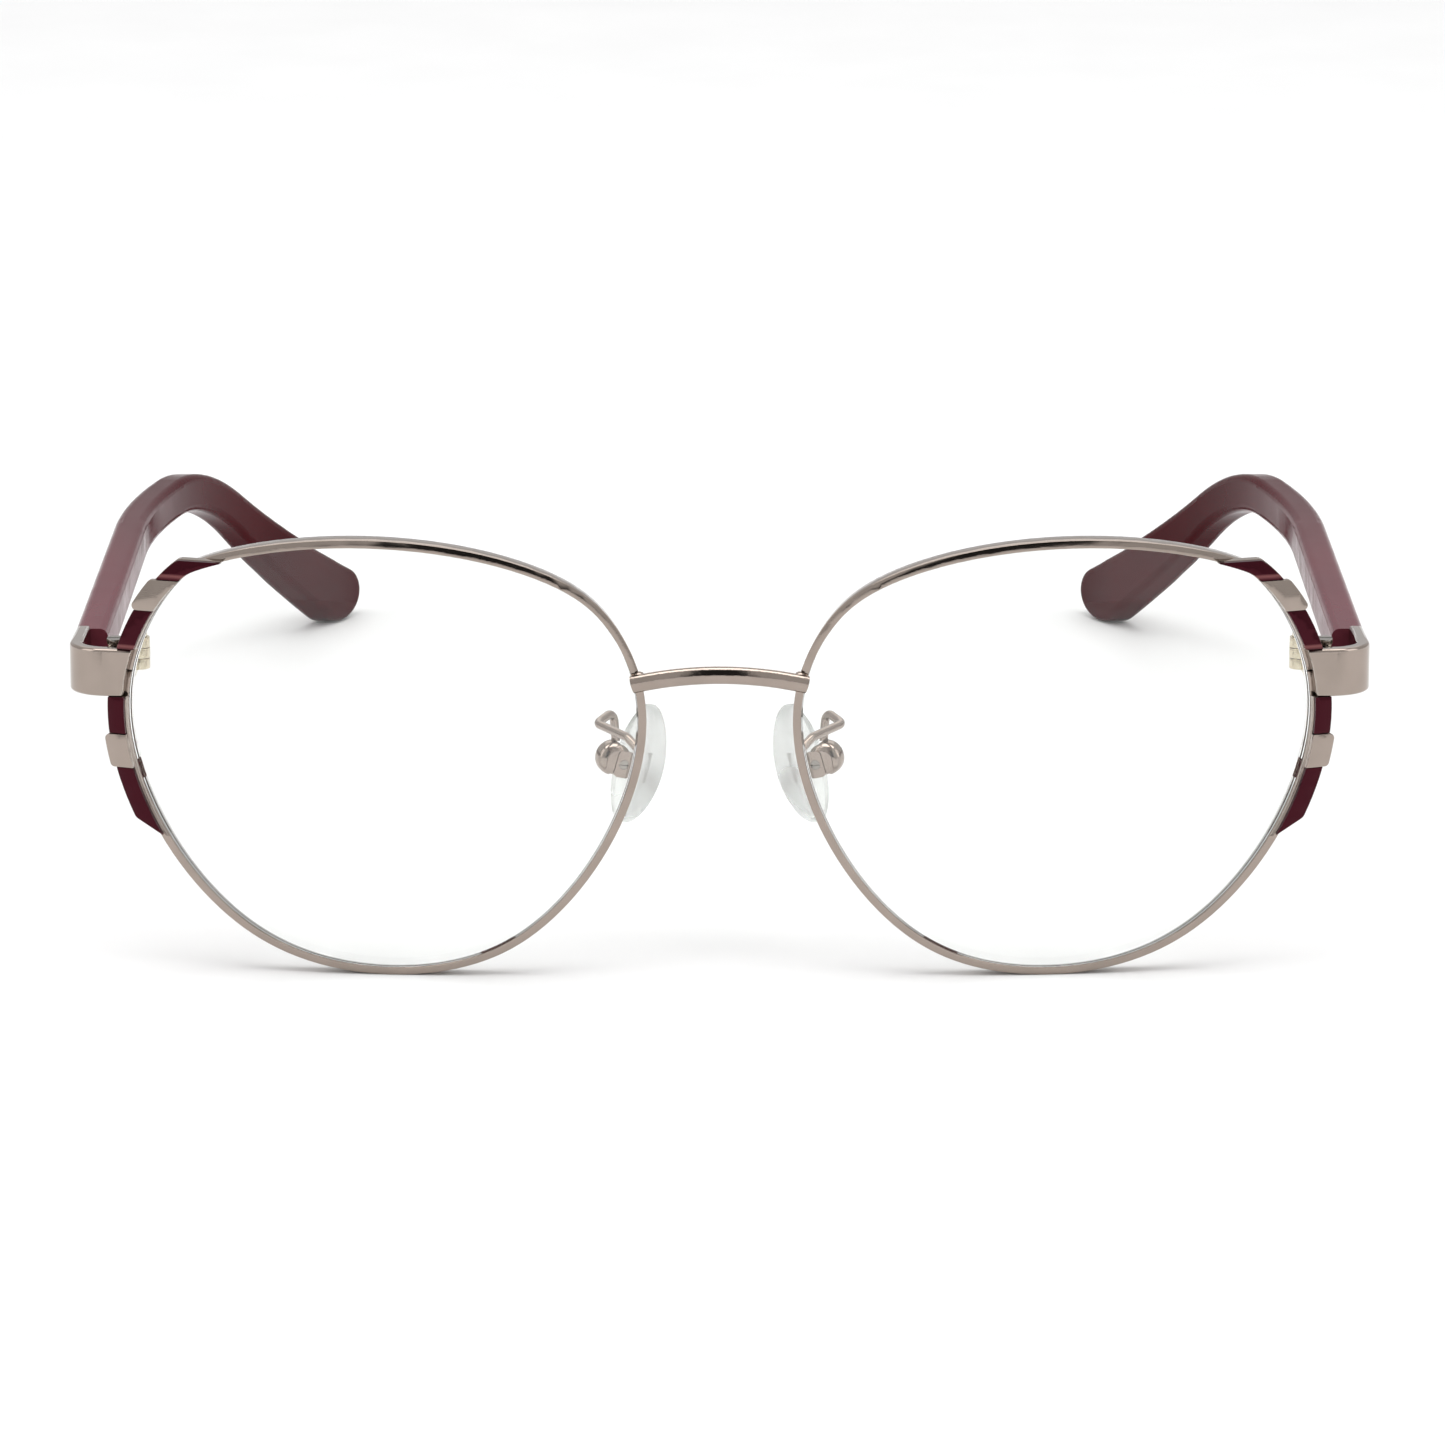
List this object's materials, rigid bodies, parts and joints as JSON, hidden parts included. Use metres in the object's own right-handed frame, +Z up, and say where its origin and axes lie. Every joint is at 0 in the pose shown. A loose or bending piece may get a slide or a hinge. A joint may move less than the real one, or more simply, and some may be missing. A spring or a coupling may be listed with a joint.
{
  "type": "eyeglasses",
  "caption": "Full-rim metal eyeglasses with softly upswept round rims, enamelled end pieces, adjustable nose pads and folding dark acetate temples.",
  "frame": {"origin": "middle of the outer box, on the table that the rims and temple tips stand on", "axes": "+X to the wearer's left, +Y back along the temples, +Z up"},
  "size_m": [0.1404, 0.1432, 0.0483],
  "materials": {
    "polished_nickel": "polished, slightly warm nickel plating",
    "burgundy_enamel": "glossy burgundy epoxy enamel",
    "burgundy_acetate": "polished translucent burgundy cellulose acetate",
    "clear_lens": "clear, anti-reflection coated",
    "clear_silicone": "clear soft silicone",
    "spring_wire": "drawn nickel silver",
    "screw_steel": "turned and polished steel"
  },
  "bodies": {
    "front": {"accent_lower_left": "polished_nickel", "accent_lower_right": "polished_nickel", "accent_upper_left": "polished_nickel", "accent_upper_right": "polished_nickel", "bridge": "polished_nickel", "closing_block_lower_left": "polished_nickel", "closing_block_lower_right": "polished_nickel", "closing_block_upper_left": "polished_nickel", "closing_block_upper_right": "polished_nickel", "enamel_bottom_left": "burgundy_enamel", "enamel_bottom_right": "burgundy_enamel", "enamel_lower_left": "burgundy_enamel", "enamel_lower_right": "burgundy_enamel", "enamel_top_left": "burgundy_enamel", "enamel_top_right": "burgundy_enamel", "enamel_upper_left": "burgundy_enamel", "enamel_upper_right": "burgundy_enamel", "hinge_front_leaf_left": "polished_nickel", "hinge_front_leaf_right": "polished_nickel", "hinge_screw_left": "screw_steel", "hinge_screw_right": "screw_steel", "lens_left": "clear_lens", "lens_right": "clear_lens", "lug_left": "polished_nickel", "lug_right": "polished_nickel", "overlay_lower_left": "polished_nickel", "overlay_lower_right": "polished_nickel", "overlay_upper_left": "polished_nickel", "overlay_upper_right": "polished_nickel", "pad_arm_left": "polished_nickel", "pad_arm_right": "polished_nickel", "pad_box_left": "polished_nickel", "pad_box_right": "polished_nickel", "pad_screw_left": "screw_steel", "pad_screw_right": "screw_steel", "rim_left": "polished_nickel", "rim_right": "polished_nickel", "rim_screw_left": "screw_steel", "rim_screw_right": "screw_steel"},
    "temple_left": {"temple_left": "burgundy_acetate", "temple_core_left": "spring_wire", "hinge_temple_leaf_left": "polished_nickel"},
    "pad_left": {"nose_pad_left": "clear_silicone", "pad_insert_left": "spring_wire"},
    "temple_right": {"temple_right": "burgundy_acetate", "temple_core_right": "spring_wire", "hinge_temple_leaf_right": "polished_nickel"},
    "pad_right": {"nose_pad_right": "clear_silicone", "pad_insert_right": "spring_wire"}
  },
  "joints": [
    {"name": "temple_left_fold", "type": "hinge", "parent": "front", "child": "temple_left", "pos_m": [0.0623, -0.0541, 0.03193], "axis": [0, 0.0872, 0.9962], "range_deg": [0, 85]},
    {"name": "temple_right_fold", "type": "hinge", "parent": "front", "child": "temple_right", "pos_m": [-0.0623, -0.0541, 0.03193], "axis": [0, -0.0872, -0.9962], "range_deg": [0, 75]},
    {"name": "pad_left_rock", "type": "hinge", "parent": "front", "child": "pad_left", "pos_m": [0.0109, -0.0581, 0.0209], "axis": [0.4226, 0.9063, 0], "range_deg": [-8, 8]},
    {"name": "pad_right_rock", "type": "hinge", "parent": "front", "child": "pad_right", "pos_m": [-0.0109, -0.0581, 0.0209], "axis": [-0.4226, 0.9063, 0], "range_deg": [-8, 8]}
  ]
}
